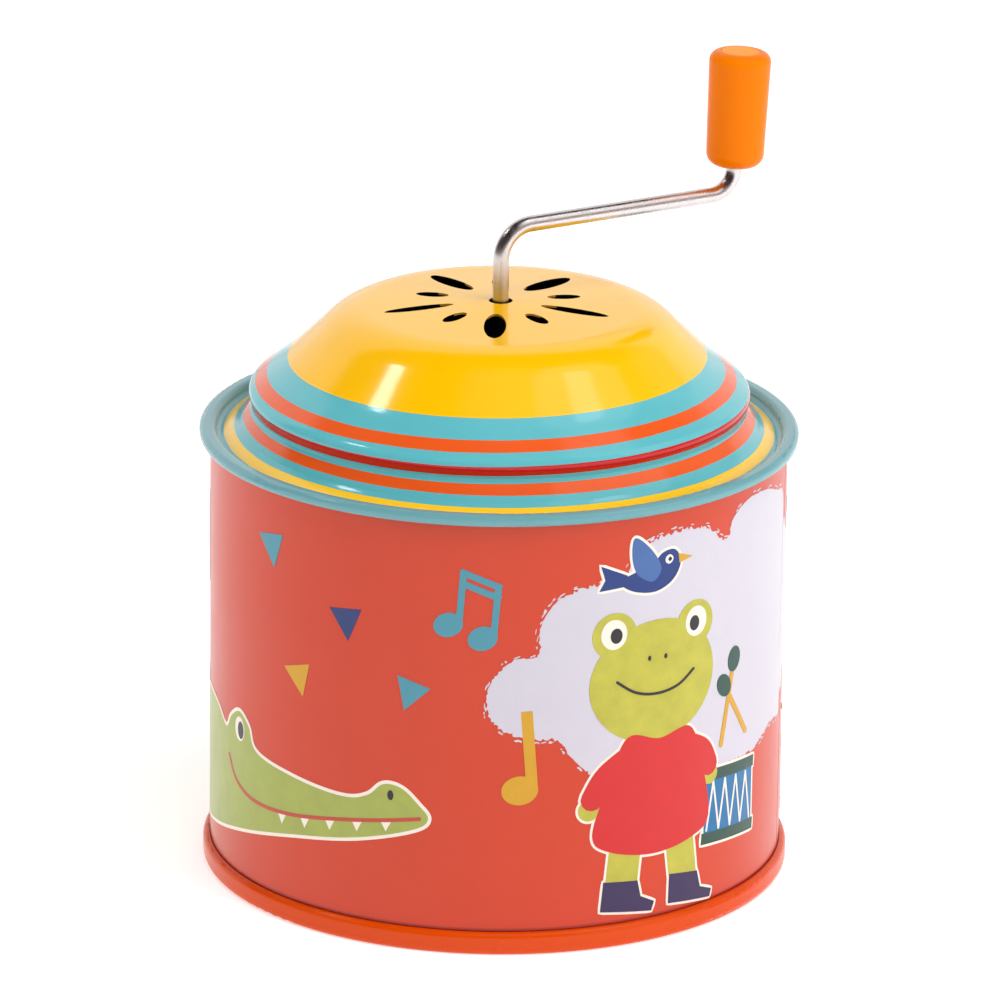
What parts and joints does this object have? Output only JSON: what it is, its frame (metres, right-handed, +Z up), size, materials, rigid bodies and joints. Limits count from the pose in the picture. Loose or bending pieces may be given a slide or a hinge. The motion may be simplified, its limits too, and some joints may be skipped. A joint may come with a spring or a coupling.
{
  "type": "hand-cranked music tin",
  "caption": "Round printed tin with a domed, pierced lid and a bent-wire crank on top; turning the crank drives a pinned drum past a steel comb inside.",
  "frame": {"origin": "centre of the base plane, on the tin's own axis", "axes": "+Z up along the crank shaft; the front is -Y; +X to the right of the front"},
  "size_m": [0.076, 0.076, 0.102],
  "materials": {
    "wall_print": "printed gloss lacquer, red-orange with coloured motifs",
    "lid_print": "printed gloss lacquer, yellow dome with teal, orange and red rings",
    "base_print": "printed gloss lacquer, orange",
    "chrome": "bright plated wire",
    "knob": "gloss",
    "knob_plug": "gloss",
    "black_plastic": "moulded, satin",
    "nylon": "moulded, satin",
    "zinc": "die-cast zinc, satin",
    "zinc_steel": "zinc plated",
    "spring_steel": "ground and oiled",
    "brass": "turned"
  },
  "bodies": {
    "tin": {"can_body": "wall_print", "lid": "lid_print", "base_cap": "base_print", "carrier_disc": "black_plastic", "crank_bush": "brass", "movement_frame": "zinc", "comb_block": "zinc", "comb": "spring_steel", "comb_screw_1": "zinc_steel", "comb_screw_2": "zinc_steel", "block_screw_1": "zinc_steel", "block_screw_2": "zinc_steel", "frame_screw_1": "zinc_steel", "frame_screw_2": "zinc_steel", "frame_screw_3": "zinc_steel", "thrust_washer": "nylon"},
    "crank": {"crank_rod": "chrome", "crank_worm": "nylon", "crank_collar": "brass", "pin_washer": "zinc_steel"},
    "knob": {"knob_body": "knob", "knob_cap": "knob_plug"},
    "drum": {"drum_sleeve": "brass", "drum_end_cap_left": "nylon", "drum_end_cap_right": "nylon", "drum_gear": "nylon", "drum_arbor": "zinc_steel", "arbor_clip_left": "spring_steel", "arbor_clip_right": "spring_steel"}
  },
  "joints": [
    {"name": "crank_turn", "type": "hinge", "parent": "tin", "child": "crank", "pos_m": [0, 0, 0], "axis": [0, 0, 1], "continuous": true},
    {"name": "knob_spin", "type": "hinge", "parent": "crank", "child": "knob", "pos_m": [0.02949, 0.01772, 0.0834], "axis": [0.0344, 0.0207, 0.9992], "continuous": true},
    {"name": "drum_turn", "type": "hinge", "parent": "tin", "child": "drum", "pos_m": [0, 0.0096, 0.0485], "axis": [1, 0, 0], "continuous": true}
  ],
  "couplings": [
    {"joint": "drum_turn", "follows": "crank_turn", "ratio": 0.041667}
  ]
}
